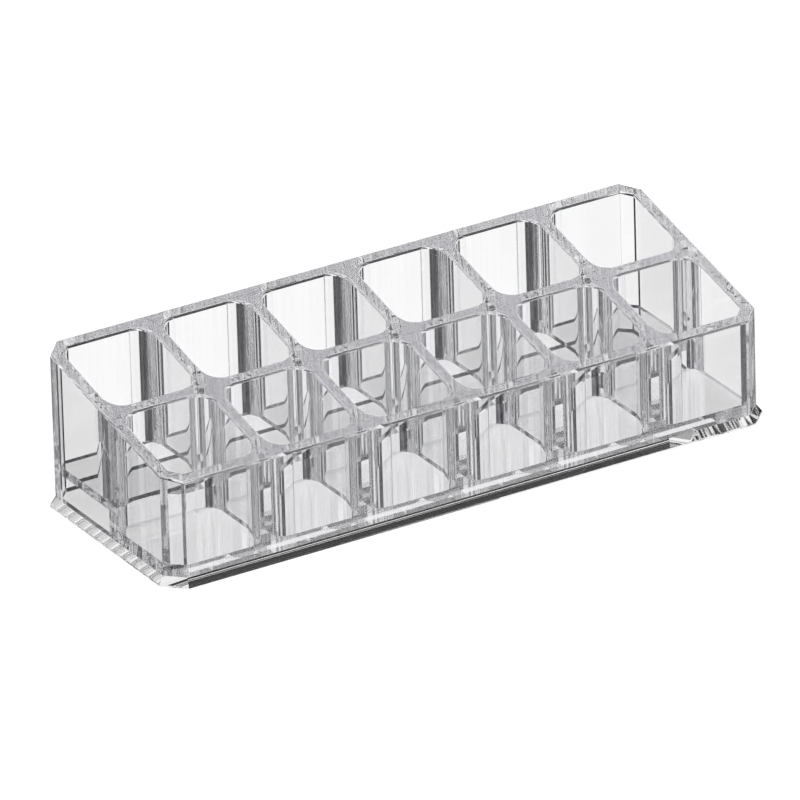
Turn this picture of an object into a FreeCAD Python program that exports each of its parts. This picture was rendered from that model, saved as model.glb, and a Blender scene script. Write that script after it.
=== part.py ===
import FreeCAD, Part
import math
import os
import Sketcher

# Clear vanity organizer: twelve open cells in two rows, cemented up from cut and polished sheet.
# Millimetres. X runs along the rows from left to right, Y from front to rear, Z up.
# The origin is the middle of the underside.

SIZES = (
    # outside of the left wall to outside of the right wall
    ("case_length", "218"),
    # outside of the front wall to outside of the rear wall
    ("case_depth", "78"),
    # table to rim at the outside of the rear wall
    ("rear_height", "54"),
    # table to rim at the outside of the front wall
    ("front_height", "36"),
    # leg of the 45 degree cut on the four upright corners
    ("corner_cut", "5.6"),
    # thickness of the outer walls and corner panels
    ("wall_sheet", "4.2"),
    # thickness of the panels between the cells
    ("divider_sheet", "4.2"),
    # thickness of the base plate
    ("base_sheet", "3"),
    # thickness of the two floors
    ("floor_sheet", "3"),
    # table to the surface that the rear row stands on
    ("rear_floor_top", "14"),
    # how far the foot stands out past the walls
    ("foot_spread", "1.8"),
    # upright edge left under the bevel of the foot
    ("foot_lip", "0.5"),
    # radius of the upright corners of a cell
    ("cell_radius", "6.3"),
    # thickness of a flared panel end at its tip
    ("flare_tip", "0.3"),
    # cells side by side in one row
    ("columns", "6"),
)

doc = FreeCAD.newDocument("vanity_organizer")
sheet = doc.addObject("Spreadsheet::Sheet", "Sizes")
for row, (alias, number) in enumerate(SIZES, start=1):
    sheet.set("A%d" % row, alias)
    sheet.set("B%d" % row, number)
    sheet.setAlias("B%d" % row, alias)
doc.recompute()

# One pass over the plan: the outline of the case, moved outwards or inwards.
# Sides move by the offset. A 45 degree corner that moves along with them grows a longer leg.


def ring(offset):
    side = "(Sizes.case_length / 2 + %s)" % offset
    end = "(Sizes.case_depth / 2 + %s)" % offset
    leg = "(Sizes.corner_cut + %s * (2 - sqrt(2)))" % offset
    return {
        "front_l": ("-%s + %s" % (side, leg), "-%s" % end),
        "front_r": ("%s - %s" % (side, leg), "-%s" % end),
        "right_f": (side, "-%s + %s" % (end, leg)),
        "right_r": (side, "%s - %s" % (end, leg)),
        "rear_r": ("%s - %s" % (side, leg), end),
        "rear_l": ("-%s + %s" % (side, leg), end),
        "left_r": ("-%s" % side, "%s - %s" % (end, leg)),
        "left_f": ("-%s" % side, "-%s + %s" % (end, leg)),
    }


OUTER = ring("0")
INNER = ring("-Sizes.wall_sheet")
FOOT = ring("Sizes.foot_spread")

# Inner faces of the side, front and rear walls.
LEFT_FACE = "-Sizes.case_length / 2 + Sizes.wall_sheet"
RIGHT_FACE = "Sizes.case_length / 2 - Sizes.wall_sheet"
FRONT_FACE = "-Sizes.case_depth / 2 + Sizes.wall_sheet"
REAR_FACE = "Sizes.case_depth / 2 - Sizes.wall_sheet"

# Front and rear faces of the long panel between the rows.
ROW_FRONT = "-Sizes.divider_sheet / 2"
ROW_REAR = "Sizes.divider_sheet / 2"

# Levels that pieces stand on.
BASE_TOP = "Sizes.base_sheet"
FRONT_FLOOR_TOP = "Sizes.base_sheet + Sizes.floor_sheet"
REAR_FLOOR_UNDER = "Sizes.rear_floor_top - Sizes.floor_sheet"
REAR_FLOOR_TOP = "Sizes.rear_floor_top"

bodies = []


def value(expression):
    return float(sheet.evalExpression(expression))


def new_body(name):
    body = doc.addObject("PartDesign::Body", name)
    body.Label = name
    bodies.append(body)
    return body


def new_sketch(body, role, height):
    sketch = body.newObject("Sketcher::SketchObject", "outline")
    for feature in body.Origin.OriginFeatures:
        if feature.Role == role:
            sketch.AttachmentSupport = [(feature, "")]
    sketch.MapMode = "FlatFace"
    sketch.setExpression("AttachmentOffset.Base.z", height)
    return sketch


def quarter_arc(start, end):
    # quarter circle from start to end, turning left
    middle = (start + end) / 2
    half = (end - start) / 2
    centre = middle + FreeCAD.Vector(-half.y, half.x, 0)
    spoke = start - centre
    angle = math.atan2(spoke.y, spoke.x)
    circle = Part.Circle(centre, FreeCAD.Vector(0, 0, 1), spoke.Length)
    return Part.ArcOfCircle(circle, angle, angle + math.pi / 2)


def draw(sketch, corners, coves=()):
    # closed outline; the step after a corner listed in coves is a hollow with the cell's radius
    first = sketch.GeometryCount
    count = len(corners)
    points = [FreeCAD.Vector(value(across), value(up), 0) for across, up in corners]
    for i in range(count):
        start = points[i]
        end = points[(i + 1) % count]
        if i in coves:
            sketch.addGeometry(quarter_arc(start, end))
        else:
            sketch.addGeometry(Part.LineSegment(start, end))
    for i, (across, up) in enumerate(corners):
        curve = first + i
        after = first + (i + 1) % count
        sketch.addConstraint(Sketcher.Constraint("Coincident", curve, 2, after, 1))
        place = Sketcher.Constraint("DistanceX", -1, 1, curve, 1, points[i].x)
        sketch.setExpression("Constraints[%d]" % sketch.addConstraint(place), across)
        place = Sketcher.Constraint("DistanceY", -1, 1, curve, 1, points[i].y)
        sketch.setExpression("Constraints[%d]" % sketch.addConstraint(place), up)
    for i in coves:
        size = Sketcher.Constraint("Radius", first + i, value("Sizes.cell_radius"))
        sketch.setExpression("Constraints[%d]" % sketch.addConstraint(size), "Sizes.cell_radius")


def raise_outline(body, corners, bottom, top, coves=()):
    sketch = new_sketch(body, "XY_Plane", bottom)
    draw(sketch, corners, coves)
    pad = body.newObject("PartDesign::Pad", "pad")
    pad.Profile = sketch
    pad.setExpression("Length", "(%s) - (%s)" % (top, bottom))
    doc.recompute()
    return pad


def trim_to_rim(body):
    # takes off what stands above the slanting plane of the rims, over the whole length
    before = body.Shape.Volume
    sketch = new_sketch(body, "YZ_Plane", "0")
    draw(sketch, (
        ("-Sizes.case_depth / 2", "Sizes.front_height"),
        ("Sizes.case_depth / 2", "Sizes.rear_height"),
        ("-Sizes.case_depth / 2", "Sizes.rear_height"),
    ))
    pocket = body.newObject("PartDesign::Pocket", "rim")
    pocket.Profile = sketch
    pocket.Type = "ThroughAll"
    pocket.SideType = "Symmetric"
    doc.recompute()
    if not 0 < body.Shape.Volume < before:
        raise RuntimeError("the rim was not trimmed on " + body.Label)


# Base plate: an upright lip on the table, then a bevel that draws in to the outside of the walls.
base = new_body("base_plate")
raise_outline(base, list(FOOT.values()), "0", "Sizes.foot_lip")
lower = new_sketch(base, "XY_Plane", "Sizes.foot_lip")
draw(lower, list(FOOT.values()))
upper = new_sketch(base, "XY_Plane", BASE_TOP)
draw(upper, list(OUTER.values()))
bevel = base.newObject("PartDesign::AdditiveLoft", "bevel")
bevel.Profile = lower
bevel.Sections = [upper]
bevel.Ruled = True
doc.recompute()

# Outer walls and corner panels stand on the base plate and meet each other on mitres.
WALLS = (
    ("front_wall", "front_l", "front_r"),
    ("front_right_corner", "front_r", "right_f"),
    ("right_wall", "right_f", "right_r"),
    ("rear_right_corner", "right_r", "rear_r"),
    ("rear_wall", "rear_r", "rear_l"),
    ("rear_left_corner", "rear_l", "left_r"),
    ("left_wall", "left_r", "left_f"),
    ("front_left_corner", "left_f", "front_l"),
)
for name, start, end in WALLS:
    wall = new_body(name)
    raise_outline(wall, (OUTER[start], OUTER[end], INNER[end], INNER[start]), BASE_TOP, "Sizes.rear_height")
    trim_to_rim(wall)

# Floor of the front row, laid on the base plate between the walls and the row divider.
front_floor = new_body("front_floor")
raise_outline(front_floor, (
    (LEFT_FACE, ROW_FRONT), INNER["left_f"], INNER["front_l"],
    INNER["front_r"], INNER["right_f"], (RIGHT_FACE, ROW_FRONT),
), BASE_TOP, FRONT_FLOOR_TOP)

# Floor of the rear row, held by its edges above an empty space.
rear_floor = new_body("rear_floor")
raise_outline(rear_floor, (
    (LEFT_FACE, ROW_REAR), INNER["left_r"], INNER["rear_l"],
    INNER["rear_r"], INNER["right_r"], (RIGHT_FACE, ROW_REAR),
), REAR_FLOOR_UNDER, REAR_FLOOR_TOP)

# Row divider: a plain panel from the base plate up, which is also the riser between the two floors.
# Above each floor its ends flare out against the side walls and round off the cells' corners.
divider = new_body("row_divider")
raise_outline(divider, (
    (LEFT_FACE, ROW_FRONT), (LEFT_FACE, ROW_REAR), (RIGHT_FACE, ROW_REAR), (RIGHT_FACE, ROW_FRONT),
), BASE_TOP, "Sizes.rear_height")
REACH = "Sizes.cell_radius"
TIP = "Sizes.flare_tip"
for face, sign, level in ((ROW_FRONT, "-", FRONT_FLOOR_TOP), (ROW_REAR, "+", REAR_FLOOR_TOP)):
    out = "%s %s %s" % (face, sign, REACH)
    left_end = ((LEFT_FACE, face), (LEFT_FACE, out), ("%s + %s" % (LEFT_FACE, TIP), out),
                ("%s + %s + %s" % (LEFT_FACE, TIP, REACH), face))
    right_end = ((RIGHT_FACE, face), (RIGHT_FACE, out), ("%s - %s" % (RIGHT_FACE, TIP), out),
                 ("%s - %s - %s" % (RIGHT_FACE, TIP, REACH), face))
    for corners, turns_left in ((left_end, sign == "+"), (right_end, sign == "-")):
        if turns_left:
            raise_outline(divider, corners, level, "Sizes.rear_height", coves=(2,))
        else:
            raise_outline(divider, (corners[0], corners[3], corners[2], corners[1]), level, "Sizes.rear_height",
                          coves=(1,))
trim_to_rim(divider)

# Cross dividers: one outline per row, flared at both ends, standing on that row's floor.
HALF = "Sizes.divider_sheet / 2"
WIDE = "(Sizes.divider_sheet / 2 + Sizes.cell_radius)"
ROWS = (
    ("front_divider", FRONT_FACE, ROW_FRONT, FRONT_FLOOR_TOP),
    ("rear_divider", ROW_REAR, REAR_FACE, REAR_FLOOR_TOP),
)
for row_name, near, far, level in ROWS:
    near_tip = "%s + %s" % (near, TIP)
    near_bend = "%s + %s" % (near_tip, REACH)
    far_tip = "%s - %s" % (far, TIP)
    far_bend = "%s - %s" % (far_tip, REACH)
    plan = (
        ("-" + HALF, near_bend), ("-" + HALF, far_bend), ("-" + WIDE, far_tip), ("-" + WIDE, far),
        (WIDE, far), (WIDE, far_tip), (HALF, far_bend), (HALF, near_bend),
        (WIDE, near_tip), (WIDE, near), ("-" + WIDE, near), ("-" + WIDE, near_tip),
    )
    for number in range(1, int(value("Sizes.columns"))):
        cross = new_body("%s_%d" % (row_name, number))
        raise_outline(cross, plan, level, "Sizes.rear_height", coves=(1, 5, 7, 11))
        trim_to_rim(cross)
        cross.setExpression(
            "Placement.Base.x",
            "(Sizes.case_length - Sizes.wall_sheet * 2 + Sizes.divider_sheet)"
            " * (%d / Sizes.columns - 1 / 2)" % number)

doc.recompute()
for item in doc.Objects:
    if "Invalid" in item.State or "Error" in item.State:
        raise RuntimeError("not built: " + item.Label)
for body in bodies:
    if body.Shape.isNull() or not body.Shape.isValid() or len(body.Shape.Solids) != 1:
        raise RuntimeError("not one valid solid: " + body.Label)

os.makedirs("parts", exist_ok=True)
for body in bodies:
    body.Shape.exportStep("parts/%s.step" % body.Label)
    box = body.Shape.BoundBox
    print("%-20s %9.1f mm3  x %7.2f %7.2f  y %6.2f %6.2f  z %5.2f %5.2f" % (
        body.Label, body.Shape.Volume, box.XMin, box.XMax, box.YMin, box.YMax, box.ZMin, box.ZMax))
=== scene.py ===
# %% [markdown]
# A vanity organizer of clear acrylic: twelve open cells in two rows on a flared foot.
# The CAD model gives every sheet its place, so it is loaded first and nothing in it moves.
# Each sheet is then made again with the fine things that the eye looks for in clear plastic:
# rounded rim edges, smooth coves, and joints that let light pass as a cemented joint does.

# %% Load the frame
import math
import bmesh
import bpy
from mathutils import Matrix, Vector


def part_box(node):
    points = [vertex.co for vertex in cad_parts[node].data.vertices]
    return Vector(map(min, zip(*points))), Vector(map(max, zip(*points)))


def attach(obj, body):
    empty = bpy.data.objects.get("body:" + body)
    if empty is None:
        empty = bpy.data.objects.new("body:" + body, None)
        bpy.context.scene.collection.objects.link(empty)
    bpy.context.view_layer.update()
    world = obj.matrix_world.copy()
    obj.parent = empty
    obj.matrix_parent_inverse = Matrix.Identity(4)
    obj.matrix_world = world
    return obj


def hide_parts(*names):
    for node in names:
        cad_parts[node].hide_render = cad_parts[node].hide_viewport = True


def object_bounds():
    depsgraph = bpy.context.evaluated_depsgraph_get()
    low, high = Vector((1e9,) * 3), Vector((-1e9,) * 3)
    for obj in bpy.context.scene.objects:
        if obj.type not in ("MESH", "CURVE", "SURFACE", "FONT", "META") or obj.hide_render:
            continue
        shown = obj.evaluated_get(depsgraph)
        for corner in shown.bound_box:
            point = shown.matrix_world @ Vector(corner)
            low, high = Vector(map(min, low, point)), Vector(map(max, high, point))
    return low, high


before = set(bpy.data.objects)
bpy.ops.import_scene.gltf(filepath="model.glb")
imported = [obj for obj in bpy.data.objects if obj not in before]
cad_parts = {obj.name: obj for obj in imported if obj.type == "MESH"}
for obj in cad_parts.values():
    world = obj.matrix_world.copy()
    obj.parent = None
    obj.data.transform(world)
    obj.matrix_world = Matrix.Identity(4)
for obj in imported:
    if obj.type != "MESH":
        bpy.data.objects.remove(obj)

MM = 0.001
cad_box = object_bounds()
scene = bpy.context.scene
print("CAD box in mm:", [[round(v / MM, 2) for v in corner] for corner in cad_box])

# %% [markdown]
# The photograph was taken from far away with a long lens: lines that are parallel on the object
# stay nearly parallel in the picture. The camera stands in front and to the left, about 26 degrees
# above the table, and is rolled a little. An orthographic camera would come close, but a long lens
# on a distant camera also keeps the slight narrowing with distance. An aim point a little above
# the origin places the object in the frame without any lens shift.

# %% Camera
CAMERA_AZIMUTH = math.radians(-30.36)
CAMERA_ELEVATION = math.radians(25.70)
CAMERA_ROLL = math.radians(-1.69)
CAMERA_DISTANCE = 5.061
CAMERA_SIGHT = 100
CAMERA_LENS = 721.3
AIM_RIGHT = -2.46 * MM
AIM_UP = 18.68 * MM

turn = Matrix.Rotation(CAMERA_AZIMUTH, 4, "Z")
turn = turn @ Matrix.Rotation(math.pi / 2 - CAMERA_ELEVATION, 4, "X")
turn = turn @ Matrix.Rotation(CAMERA_ROLL, 4, "Z")
right, up, back = (turn.col[i].xyz for i in range(3))
aim = right * AIM_RIGHT + up * AIM_UP
camera = bpy.data.objects.new("camera", bpy.data.cameras.new("camera"))
camera.data.lens = CAMERA_LENS
camera.data.clip_end = CAMERA_SIGHT
camera.matrix_world = Matrix.Translation(aim + back * CAMERA_DISTANCE) @ turn
scene.collection.objects.link(camera)
scene.camera = camera
print("camera at", [round(v, 3) for v in camera.matrix_world.translation])

# %% [markdown]
# Two helpers serve every finish and the light. Colours are written as a screen shows them, in hex,
# and a shader counts in linear light, so one function changes them. The other adds a node with its
# settings and links in one call, so that a finish reads as a list of what it is made of.

# %% Colours and nodes
def to_linear(code):
    parts = [int(code[i:i + 2], 16) / 255 for i in (1, 3, 5)]
    return [c / 12.92 if c <= 0.04045 else ((c + 0.055) / 1.055) ** 2.4 for c in parts] + [1]


def add_node(tree, kind, links=(), inputs=None, **settings):
    node = tree.nodes.new(kind)
    for name, setting in settings.items():
        setattr(node, name, setting)
    for name, number in (inputs or {}).items():
        node.inputs[name].default_value = number
    for name, source in links:
        tree.links.new(source, node.inputs[name])
    return node


print("middle grey on a screen is", round(to_linear("#808080")[0], 3), "in linear light")

# %% [markdown]
# Clear acrylic is cast or moulded with a mirror finish. It bends light by an index of 1.49, takes
# next to no colour from it, and mirrors a few percent at each face. What keeps it from looking
# like nothing at all is its surface. The sheets are nearly flat, with faint clouds left by wiping.
# The rims were polished after cutting, which leaves soft ripples several millimetres long that
# unsettle the light a little. An image of such marks could be laid on, but noise at real sizes on
# top of a glass shader fits every sheet, and one function makes both finishes. The index is a
# plain number on the shader's own socket.

# %% Clear acrylic
ACRYLIC_INDEX = 1.49
CLOUD_WIDTH = 9 * MM
WIPE_WIDTH = 2.5 * MM
WIPE_DULLNESS = 0.008
SHEET_SLOT = 0
RIM_SLOT = 1


def clear_acrylic(name, ripple_length, ripple_height):
    material = bpy.data.materials.new(name)
    material.use_nodes = True
    tree = material.node_tree
    shader = tree.nodes["Principled BSDF"]
    shader.inputs["IOR"].default_value = ACRYLIC_INDEX
    shader.inputs["Transmission Weight"].default_value = 1
    place = add_node(tree, "ShaderNodeTexCoord").outputs["Object"]
    clouds = add_node(tree, "ShaderNodeTexNoise", [("Vector", place)],
                      {"Scale": 1 / CLOUD_WIDTH, "Detail": 3, "Roughness": 0.5})
    wipe = add_node(tree, "ShaderNodeTexNoise", [("Vector", place)],
                    {"Scale": 1 / WIPE_WIDTH, "Detail": 4, "Roughness": 0.6})
    ripple = add_node(tree, "ShaderNodeTexNoise", [("Vector", place)],
                      {"Scale": 1 / ripple_length, "Detail": 1, "Roughness": 0.4})
    tint = add_node(tree, "ShaderNodeMix", [("Factor", clouds.outputs["Fac"])],
                    {"A": to_linear("#FEFEFF"), "B": to_linear("#FFFFFF")}, data_type="RGBA")
    dull = add_node(tree, "ShaderNodeMapRange", [("Value", wipe.outputs["Fac"])],
                    {"From Min": 0.45, "From Max": 0.8, "To Min": 0.0, "To Max": WIPE_DULLNESS})
    bump = add_node(tree, "ShaderNodeBump", [("Height", ripple.outputs["Fac"])],
                    {"Strength": 1, "Distance": ripple_height})
    tree.links.new(tint.outputs["Result"], shader.inputs["Base Color"])
    tree.links.new(dull.outputs["Result"], shader.inputs["Roughness"])
    tree.links.new(bump.outputs["Normal"], shader.inputs["Normal"])
    print("material:", name, "with", len(tree.nodes), "nodes")
    return material


sheet_finish = clear_acrylic("polished_clear_acrylic", ripple_length=14 * MM, ripple_height=0.0002 * MM)
rim_finish = clear_acrylic("flame_polished_acrylic_rim", ripple_length=8 * MM, ripple_height=0.02 * MM)

# %% [markdown]
# Seen from above, the case is a rectangle with its four corners cut at 45 degrees. Its cells are
# rectangles with round corners. The points could be worked out one by one, but one flat face and a
# vertex bevel give every one of these outlines: one segment for a straight cut and many for a
# round. When the outline of the case spreads, its cuts have to grow too, so that the new outline
# runs at the same distance all round: by two less the root of two for each unit of spread.

# %% Plan of the case
COVE_STEPS = 48
CUT_GROWTH = 2 - math.sqrt(2)
ALL_CORNERS = [(side, row) for side in (0, 1) for row in (0, 1)]
front_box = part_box("front_wall")
rear_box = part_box("rear_wall")
flare_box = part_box("front_divider_1")
half_length = -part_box("left_wall")[0].x
half_depth = rear_box[1].y
wall = front_box[1].y - front_box[0].y
row_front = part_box("front_floor")[1].y
row_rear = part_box("rear_floor")[0].y
web = row_rear - row_front
cove = (flare_box[1].x - flare_box[0].x - web) / 2
corner_cut = half_length - front_box[1].x


def outline(low, high, cut_corners, cut):
    middle = [(start + end) / 2 for start, end in zip(low, high)]
    flat = bmesh.new()
    bmesh.ops.create_grid(flat, x_segments=1, y_segments=1, size=0.5)
    bmesh.ops.scale(flat, vec=(high[0] - low[0], high[1] - low[1], 1), verts=flat.verts)
    bmesh.ops.translate(flat, vec=(middle[0], middle[1], 0), verts=flat.verts)
    cut_verts = [v for v in flat.verts if (v.co.x > middle[0], v.co.y > middle[1]) in cut_corners]
    round_verts = [v for v in flat.verts if v not in cut_verts]
    for corners, size, segments in ((cut_verts, cut, 1), (round_verts, cove, COVE_STEPS)):
        if corners:
            bmesh.ops.bevel(flat, geom=corners, offset=size, offset_type="OFFSET", segments=segments,
                            profile=0.5, affect="VERTICES", material=-1)
    points = [loop.vert.co.copy() for loop in flat.faces[:][0].loops]
    flat.free()
    return points


def case_outline(spread):
    reach = (half_length + spread, half_depth + spread)
    return outline((-reach[0], -reach[1]), reach, ALL_CORNERS, corner_cut + spread * CUT_GROWTH)


print("wall", round(wall / MM, 2), "mm, web", round(web / MM, 2), "mm, cove", round(cove / MM, 2), "mm")

# %% [markdown]
# The twelve cells stand in two rows of six. Only the four at the ends have one cut corner, which
# follows the outside of the case at the thickness of the wall. A loop over columns and rows asks
# for each outline, so that a change of the wall or the web moves all of them.

# %% Cells
columns = 6
rows = [(-half_depth + wall, row_front), (row_rear, half_depth - wall)]
pitch = (2 * half_length - 2 * wall + web) / columns
inner_cut = corner_cut - wall * CUT_GROWTH
cells = []
for column in range(columns):
    west = -half_length + wall + column * pitch
    east = west + pitch - web
    for row, (south, north) in enumerate(rows):
        cut_corners = [(side, row) for side, end in enumerate((0, columns - 1)) if column == end]
        cells.append(outline((west, south), (east, north), cut_corners, inner_cut))
print(len(cells), "cells, one every", round(pitch / MM, 2), "mm")

# %% [markdown]
# On the real thing the rims run on from sheet to sheet without a step. So all upright sheets are
# first made together, as one grid, and cut apart later. Its plan is what lies between the outside
# and the cells, filled with faces. A filled plan is a patchwork of triangles, which the bevel of
# the rims couldn't follow. Lines through the middle of the cells cut it into simple patches, each
# with one face, that meet the rims squarely. The plan lies a little below the top of the foot,
# because each piece is cut off at its own height.

# %% Plan of the grid
LAP = 0.05 * MM
base_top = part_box("base_plate")[1].z


def everything(shape):
    return shape.verts[:] + shape.edges[:] + shape.faces[:]


grid = bmesh.new()
for points in [case_outline(0)] + cells:
    corners = [grid.verts.new((point.x, point.y, base_top - 2 * LAP)) for point in points]
    for first, second in zip(corners, corners[1:] + corners[:1]):
        grid.edges.new((first, second))
bmesh.ops.triangle_fill(grid, edges=grid.edges[:], use_beauty=True)
middles_x = [-half_length + wall + (pitch - web) / 2 + column * pitch for column in range(columns)]
middles_y = [(south + north) / 2 for south, north in rows]
for x in middles_x:
    bmesh.ops.bisect_plane(grid, geom=everything(grid), plane_co=(x, 0, 0), plane_no=(1, 0, 0))
for y in middles_y:
    bmesh.ops.bisect_plane(grid, geom=everything(grid), plane_co=(0, y, 0), plane_no=(0, 1, 0))
patches = {}
for face in grid.faces:
    middle = face.calc_center_median()
    patch = (sum(middle.x > x for x in middles_x), sum(middle.y > y for y in middles_y))
    patches.setdefault(patch, []).append(face)
for faces in patches.values():
    bmesh.ops.dissolve_faces(grid, faces=faces)
print("plan of the grid:", len(patches), "patches,", len(grid.faces), "faces")

# %% [markdown]
# The plan is raised to the slanting plane of the rims, which the tops of the front and the rear
# wall give. One soft round then follows every rim edge, as a polishing flame leaves it, and the
# rims get their own finish. The narrow upright faces of the coves are shaded smooth, and the broad
# ones stay flat, so that a sheet is not seen to bulge.

# %% Upright grid
RIM_ROUND = 0.7 * MM
RIM_STEPS = 4
TOP_ABOVE = 0.5
UPRIGHT_BELOW = 0.01
FACET_BELOW = 1 * MM


def plan_width(face):
    return max((one.co.xy - other.co.xy).length for one in face.verts for other in face.verts)


slant = (rear_box[1].z - front_box[1].z) / (2 * half_depth - wall)
raised = bmesh.ops.extrude_face_region(grid, geom=grid.faces[:])["geom"]
for vert in [item for item in raised if isinstance(item, bmesh.types.BMVert)]:
    vert.co.z = rear_box[1].z - slant * (half_depth - vert.co.y)
bmesh.ops.recalc_face_normals(grid, faces=grid.faces)
tops = [face for face in grid.faces if face.normal.z > TOP_ABOVE]
rims = [edge for edge in grid.edges if sum(face in tops for face in edge.link_faces) == 1]
rounds = bmesh.ops.bevel(grid, geom=rims, offset=RIM_ROUND, offset_type="OFFSET", segments=RIM_STEPS,
                         profile=0.5, affect="EDGES", clamp_overlap=False, material=-1)["faces"]
for face in rounds:
    face.smooth = True
for face in rounds + [face for face in grid.faces if face.normal.z > TOP_ABOVE]:
    face.material_index = RIM_SLOT
for face in grid.faces:
    if abs(face.normal.z) < UPRIGHT_BELOW and plan_width(face) < FACET_BELOW:
        face.smooth = True
whole = bpy.data.meshes.new("upright_grid")
grid.to_mesh(whole)
print("upright grid:", len(grid.faces), "faces,",
      sum(not edge.is_manifold for edge in grid.edges), "open edges")
grid.free()

# %% [markdown]
# The grid is then cut apart along the joints, the way the CAD model divides it. A boolean would do
# it too, but each joint is a plane, and a plane cut leaves the other faces as they are. The holes
# that it leaves are filled with plain sheet finish. Pieces reach a twentieth of a millimetre into
# each other, so light leaves one and enters the next through parallel faces and keeps its way, as
# it does in a cemented joint.

# %% Cut the grid apart
CUT_SNAP = 0.0001 * MM


def carve(planes):
    shape = bmesh.new()
    shape.from_mesh(whole)
    for place, outward in planes:
        bmesh.ops.bisect_plane(shape, geom=everything(shape), dist=CUT_SNAP, plane_co=place,
                               plane_no=outward, clear_outer=True)
        holes = [edge for edge in shape.edges if edge.is_boundary]
        for face in bmesh.ops.holes_fill(shape, edges=holes, sides=0)["faces"]:
            face.material_index = SHEET_SLOT
            face.smooth = False
    return shape


def box_planes(low, high, bottom):
    sides = [(low, (-1, 0, 0)), (high, (1, 0, 0)), (low, (0, -1, 0)), (high, (0, 1, 0))]
    return sides + [((0, 0, bottom), (0, 0, -1))]


print("each piece is cut with a lap of", round(LAP / MM, 3), "mm")

# %% [markdown]
# Every piece is finished in the same way. Where a smooth cove meets a rim or a cut, Blender would
# average the normals of both, which tilts the shading of the cove and bends the light that passes
# it. So an edge between an upright face and any other is marked sharp, as is every edge with a
# clear angle. The piece then rides on the body of the organizer and takes its CAD node's place.

# %% Finish of a piece
SMOOTH_BELOW = math.radians(35)


def finish_piece(shape, node):
    bmesh.ops.recalc_face_normals(shape, faces=shape.faces)
    for edge in shape.edges:
        upright = {abs(face.normal.z) < UPRIGHT_BELOW for face in edge.link_faces}
        gentle = edge.is_manifold and edge.calc_face_angle(0) < SMOOTH_BELOW
        edge.smooth = gentle and len(upright) == 1
    open_edges = sum(not edge.is_manifold for edge in shape.edges)
    name = "clear_" + node
    mesh = bpy.data.meshes.new(name)
    shape.to_mesh(mesh)
    shape.free()
    mesh.materials.append(sheet_finish)
    mesh.materials.append(rim_finish)
    piece = bpy.data.objects.new(name, mesh)
    scene.collection.objects.link(piece)
    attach(piece, "root")
    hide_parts(node)
    print(name, len(mesh.polygons), "faces,", open_edges, "open edges")


print("edges are sharp from", round(math.degrees(SMOOTH_BELOW)), "degrees")

# %% [markdown]
# Eight wall sheets stand on the foot plate: four long ones and four narrow corner panels, mitred to
# each other. A wall is what lies within its thickness of one side of the outside outline and
# between the two mitres. Its inner cut stays a hair off the wall's own face, because a cut that
# lies in a face leaves ragged edges. A thin air gap parts the walls from the foot, so that the
# foot mirrors light inside itself and shows as a clean dark band.

# %% Walls
SEAT_GAP = 0.02 * MM
CUT_CLEAR = 0.01 * MM
WALLS = ["front_wall", "front_right_corner", "right_wall", "rear_right_corner",
         "rear_wall", "rear_left_corner", "left_wall", "front_left_corner"]
middles = {node: (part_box(node)[0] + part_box(node)[1]) / 2 for node in WALLS}
outer = case_outline(0)
inner = case_outline(-wall)
for start, end, start_in, end_in in zip(outer, outer[1:] + outer[:1], inner, inner[1:] + inner[:1]):
    along = (end - start).normalized()
    inward = (start_in + end_in) / 2 - (start + end) / 2
    inward = (inward - along * inward.dot(along)).normalized()
    centre = (start + end + start_in + end_in) / 4
    node = min(middles, key=lambda name: (middles[name].xy - centre.xy).length)
    planes = [(start + inward * (wall + CUT_CLEAR), inward), ((0, 0, base_top + SEAT_GAP), (0, 0, -1))]
    for corner, corner_in, direction in ((start, start_in, -along), (end, end_in, along)):
        mitre = corner_in - corner
        outward = Vector((mitre.y, -mitre.x, 0)).normalized()
        if outward.dot(direction) < 0:
            outward = -outward
        planes.append((corner + outward * LAP, outward))
    finish_piece(carve(planes), node)

# %% [markdown]
# The foot is a plate that spreads past the walls, with a bevel all round and a narrow upright lip
# where it meets the table. Two stacked plates would leave a seam between lip and bevel. Here an
# extrusion makes the lip, and an inset face that is then lifted makes the bevel, so its slope is
# the same on all eight sides. The edges of the lip get a small round.

# %% Foot plate
FOOT_LIP = 0.5 * MM
FOOT_ROUND = 0.15 * MM
LEVEL_WITHIN = 0.01 * MM
foot_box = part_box("base_plate")
foot_spread = foot_box[1].x - half_length


def raise_outline(points, bottom, top):
    shape = bmesh.new()
    footprint = shape.faces.new([shape.verts.new((point.x, point.y, bottom)) for point in points])
    moved = bmesh.ops.extrude_face_region(shape, geom=[footprint])["geom"]
    bmesh.ops.translate(shape, vec=(0, 0, top - bottom),
                        verts=[item for item in moved if isinstance(item, bmesh.types.BMVert)])
    bmesh.ops.recalc_face_normals(shape, faces=shape.faces)
    return shape


foot = raise_outline(case_outline(foot_spread), foot_box[0].z, foot_box[0].z + FOOT_LIP)
lid = max(foot.faces, key=lambda face: face.calc_center_median().z)
bmesh.ops.inset_region(foot, faces=[lid], thickness=foot_spread, depth=0,
                       use_boundary=True, use_even_offset=True)
bmesh.ops.translate(foot, vec=(0, 0, foot_box[1].z - foot_box[0].z - FOOT_LIP), verts=lid.verts)
lip_edges = [edge for edge in foot.edges if edge not in lid.edges[:]
             and abs(edge.verts[0].co.z - edge.verts[1].co.z) < LEVEL_WITHIN]
rounds = bmesh.ops.bevel(foot, geom=lip_edges, offset=FOOT_ROUND, offset_type="OFFSET", segments=RIM_STEPS,
                         profile=0.5, affect="EDGES", material=-1)["faces"]
for face in rounds:
    face.smooth = True
finish_piece(foot, "base_plate")
print("foot spreads", round(foot_spread / MM, 2), "mm past the walls")

# %% [markdown]
# Two floors carry what is put in the cells. The front one lies on the foot plate, with the same
# air gap as the walls, and the rear one is held higher up, so the rear row stands taller. Both are
# the inner outline of the case, cut along the panel between the rows and raised.

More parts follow.
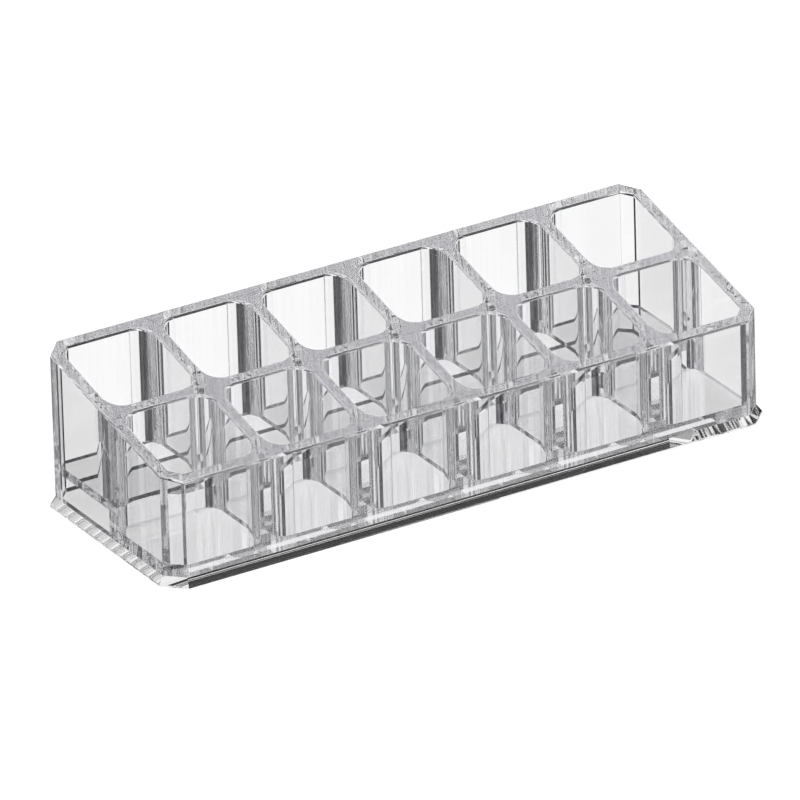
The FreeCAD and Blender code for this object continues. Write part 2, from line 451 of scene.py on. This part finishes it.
# %% Floors
for node, edge_y, outward, gap in (("front_floor", row_front + LAP, 1, SEAT_GAP),
                                   ("rear_floor", row_rear - LAP, -1, 0)):
    low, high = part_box(node)
    flat = bmesh.new()
    flat.faces.new([flat.verts.new(point) for point in case_outline(LAP - wall)])
    bmesh.ops.bisect_plane(flat, geom=everything(flat), plane_co=(0, edge_y, 0),
                           plane_no=(0, outward, 0), clear_outer=True)
    points = [loop.vert.co.copy() for loop in flat.faces[:][0].loops]
    flat.free()
    finish_piece(raise_outline(points, low.z + gap, high.z), node)

# %% [markdown]
# The panels between the cells widen at both ends into a cove, so that no cell has a sharp upright
# corner. Each stands on the floor of its row and reaches from the panel between the rows to the
# wall. The box of the CAD node says where to cut it out of the grid.

# %% Cross dividers
for row in ("front", "rear"):
    for number in range(1, columns):
        node = "%s_divider_%d" % (row, number)
        low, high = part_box(node)
        lap = Vector((CUT_CLEAR, LAP, 0))
        finish_piece(carve(box_planes(low - lap, high + lap, low.z - LAP)), node)

# %% [markdown]
# One long panel parts the two rows. It stands over the foot plate between the floors, and a cove in
# each of the four cell corners at its ends ties it to the side walls. The coves start at the
# floors, so they are cut out of the grid on their own and joined to the panel. They only just touch
# it, because a deeper lap would show through the clear sheet as a dotted line.

# %% Row divider
TOUCH = 0.005 * MM
low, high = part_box("row_divider")
reach = cove + TOUCH
blocks = [box_planes((low.x - LAP, row_front, 0), (high.x + LAP, row_rear, 0), base_top + SEAT_GAP)]
for west, east in ((low.x - LAP, low.x + reach), (high.x - reach, high.x + LAP)):
    for node, south, north in (("front_floor", row_front - reach, row_front + TOUCH),
                               ("rear_floor", row_rear - TOUCH, row_rear + reach)):
        blocks.append(box_planes((west, south, 0), (east, north, 0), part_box(node)[1].z - LAP))
panel = bmesh.new()
for planes in blocks:
    block = carve(planes)
    carried = bpy.data.meshes.new("block")
    block.to_mesh(carried)
    block.free()
    panel.from_mesh(carried)
    bpy.data.meshes.remove(carried)
finish_piece(panel, "row_divider")
bpy.data.meshes.remove(whole)

# %% [markdown]
# The stage is a plain floor that is white to the camera and keeps a faint shadow. A white sheet
# under lamps would need strong light, which would also flood the plastic. This one glows a little
# below white and adds a matte grey, which gets less light where the organizer stands in the way.
# Views through the plastic, or mirrored by it, miss the floor, as their light is set by direction.

# %% Floor
FLOOR_HALF = 6.0
FLOOR_GAP = 0.2 * MM
FLOOR_GLOW = 0.96
shape = bmesh.new()
bmesh.ops.create_grid(shape, x_segments=1, y_segments=1, size=FLOOR_HALF)
bmesh.ops.translate(shape, vec=(0, 0, cad_box[0].z - FLOOR_GAP), verts=shape.verts)
floor_mesh = bpy.data.meshes.new("floor")
shape.to_mesh(floor_mesh)
shape.free()
floor = bpy.data.objects.new("floor", floor_mesh)
scene.collection.objects.link(floor)
floor.visible_transmission = False
floor.visible_glossy = False
pale = bpy.data.materials.new("pale_floor")
pale.use_nodes = True
tree = pale.node_tree
tree.nodes.clear()
glow = add_node(tree, "ShaderNodeEmission", inputs={"Color": to_linear("#FFFFFF"), "Strength": FLOOR_GLOW})
matte = add_node(tree, "ShaderNodeBsdfDiffuse", inputs={"Color": to_linear("#808080")})
both = add_node(tree, "ShaderNodeAddShader", [(0, glow.outputs["Emission"]), (1, matte.outputs["BSDF"])])
add_node(tree, "ShaderNodeOutputMaterial", [("Surface", both.outputs["Shader"])])
floor_mesh.materials.append(pale)
print("floor", round(FLOOR_GAP / MM, 2), "mm under the foot")

# %% [markdown]
# Clear plastic has no look of its own, so a photographer draws its edges with light: a bright
# surround, and black cards in it. A flat sheet shows the bright surround straight through, and a
# cove or a round, which bends the view aside, shows a card as a dark line. Lamps and cards could be
# built as meshes, but they would have to be kept out of the picture from every side. The world can
# hold the same by direction: the rise above the horizon and the heading around it. A colour ramp
# with constant steps, whose stops are written in degrees, turns either angle into levels of light.

# %% Rise and heading
QUARTER_TURN = 90
HALF_TURN = 180
world = bpy.data.worlds.new("studio")
scene.world = world
world.use_nodes = True
tree = world.node_tree
place = add_node(tree, "ShaderNodeTexCoord")
axes = add_node(tree, "ShaderNodeSeparateXYZ", [("Vector", place.outputs["Generated"])])
rise = add_node(tree, "ShaderNodeMath", [(0, axes.outputs["Z"])], operation="ARCSINE")
heading = add_node(tree, "ShaderNodeMath", [(0, axes.outputs["Y"]), (1, axes.outputs["X"])],
                   operation="ARCTAN2")


def levels(angle, reach, stops):
    share = add_node(tree, "ShaderNodeMapRange", [("Value", angle.outputs["Value"])],
                     {"From Min": -math.radians(reach), "From Max": math.radians(reach)})
    ramp = add_node(tree, "ShaderNodeValToRGB", [("Fac", share.outputs["Result"])])
    ramp.color_ramp.interpolation = "CONSTANT"
    elements = ramp.color_ramp.elements
    elements.remove(elements[1])
    for number, (degrees, level) in enumerate(stops):
        position = (degrees + reach) / (2 * reach)
        stop = elements.new(position) if number else elements[0]
        stop.position = position
        stop.color = (level, level, level, 1)
    return ramp.outputs["Color"]


print("the world starts with", len(tree.nodes), "nodes")

# %% [markdown]
# From every side something dark has to stand behind the coves, or the organizer fades into the
# white. So narrow black cards stand all round, one every 45 degrees. The heading, counted in steps
# from card to card, is compared with the middle of a step.

# %% Cards all round
CARD_EVERY = math.radians(45)
CARD_HALF = math.radians(5)
CARD_LEVEL = 0.05
steps = add_node(tree, "ShaderNodeMath", [(0, heading.outputs["Value"])], {1: CARD_EVERY},
                 operation="DIVIDE")
part_step = add_node(tree, "ShaderNodeMath", [(0, steps.outputs["Value"])], operation="FRACT")
card = add_node(tree, "ShaderNodeMath", [(0, part_step.outputs["Value"])],
                {1: 0.5, 2: CARD_HALF / CARD_EVERY}, operation="COMPARE")
room = add_node(tree, "ShaderNodeMixRGB", [("Fac", card.outputs["Value"])],
                {"Color1": to_linear("#FFFFFF"), "Color2": (CARD_LEVEL, CARD_LEVEL, CARD_LEVEL, 1)})
light = room.outputs["Color"]
print(round(math.tau / CARD_EVERY), "cards, each", round(math.degrees(2 * CARD_HALF)), "degrees wide")

# %% [markdown]
# The photograph's own side needs cards in chosen places. Upright faces never change how steeply a
# view falls, so what the walls and the coves show comes from a narrow ring at the fall of the eye,
# 26 degrees below the horizon. Rims, rounds and the bevel of the foot turn the view up or down, and
# have zones of their own. Each row below is a zone: the rise where it starts and ends, and then the
# level of light from each heading on. Zones darken the light that is there, and the ring at the
# fall of the eye replaces it. Light that enters a rim is mirrored many times between the faces of a
# thin sheet, so it is followed for many bounces.

# %% Zones of light
LIGHT_BOUNCES = 128
ZONES = [
    (-90, -50, [(-180, 1.0), (-12, 0.03), (73, 1.0)]),
    (-50, -27.0, [(-180, 0.03), (-152, 1.0), (40, 0.03), (68, 1.0), (174, 0.03)]),
    (-24.4, -17, [(-180, 1.0), (21, 0.03), (81, 1.0)]),
    (-12.5, 13, [(-180, 1.0), (-27, 0.05), (17, 1.0), (140, 0.05), (162, 1.0)]),
    (13, 35, [(-180, 0.9), (-45, 0.02), (-25, 0.9), (40, 0.06), (67, 0.4), (150, 0.9)]),
    (35, 57, [(-180, 0.8), (-112, 0.02), (-15, 0.7), (25, 0.02), (155, 0.8)]),
]
EYE_RING = (-27.0, -24.4, [
    (-180, 0.9), (-166, 0.02), (-138, 0.9), (-132, 0.02), (-122, 0.9), (-70, 0.03),
    (-48, 0.9), (-42, 0.03), (-3, 0.9), (3, 0.03), (39, 0.95), (50, 1.0),
    (78.5, 0), (87, 0.9), (93, 0), (132, 0.9), (138, 0.1), (150, 1.0),
])


def lay_zone(light, blend, low, high, stops):
    window = levels(rise, QUARTER_TURN, [(-QUARTER_TURN, 0), (low, 1), (high, 0)])
    around = levels(heading, HALF_TURN, stops)
    zone = add_node(tree, "ShaderNodeMixRGB", [("Fac", window), ("Color1", light), ("Color2", around)],
                    blend_type=blend)
    return zone.outputs["Color"]


for zone in ZONES:
    light = lay_zone(light, "MULTIPLY", *zone)
light = lay_zone(light, "MIX", *EYE_RING)
path = add_node(tree, "ShaderNodeLightPath")
seen = add_node(tree, "ShaderNodeMixRGB", [("Fac", path.outputs["Is Camera Ray"]), ("Color1", light)],
                {"Color2": to_linear("#FFFFFF")})
tree.links.new(seen.outputs["Color"], tree.nodes["Background"].inputs["Color"])
scene.view_settings.view_transform = "Standard"
scene.cycles.max_bounces = LIGHT_BOUNCES
scene.cycles.transmission_bounces = LIGHT_BOUNCES
scene.cycles.glossy_bounces = LIGHT_BOUNCES
print("light in", len(ZONES), "zones and a ring,", len(tree.nodes), "nodes")
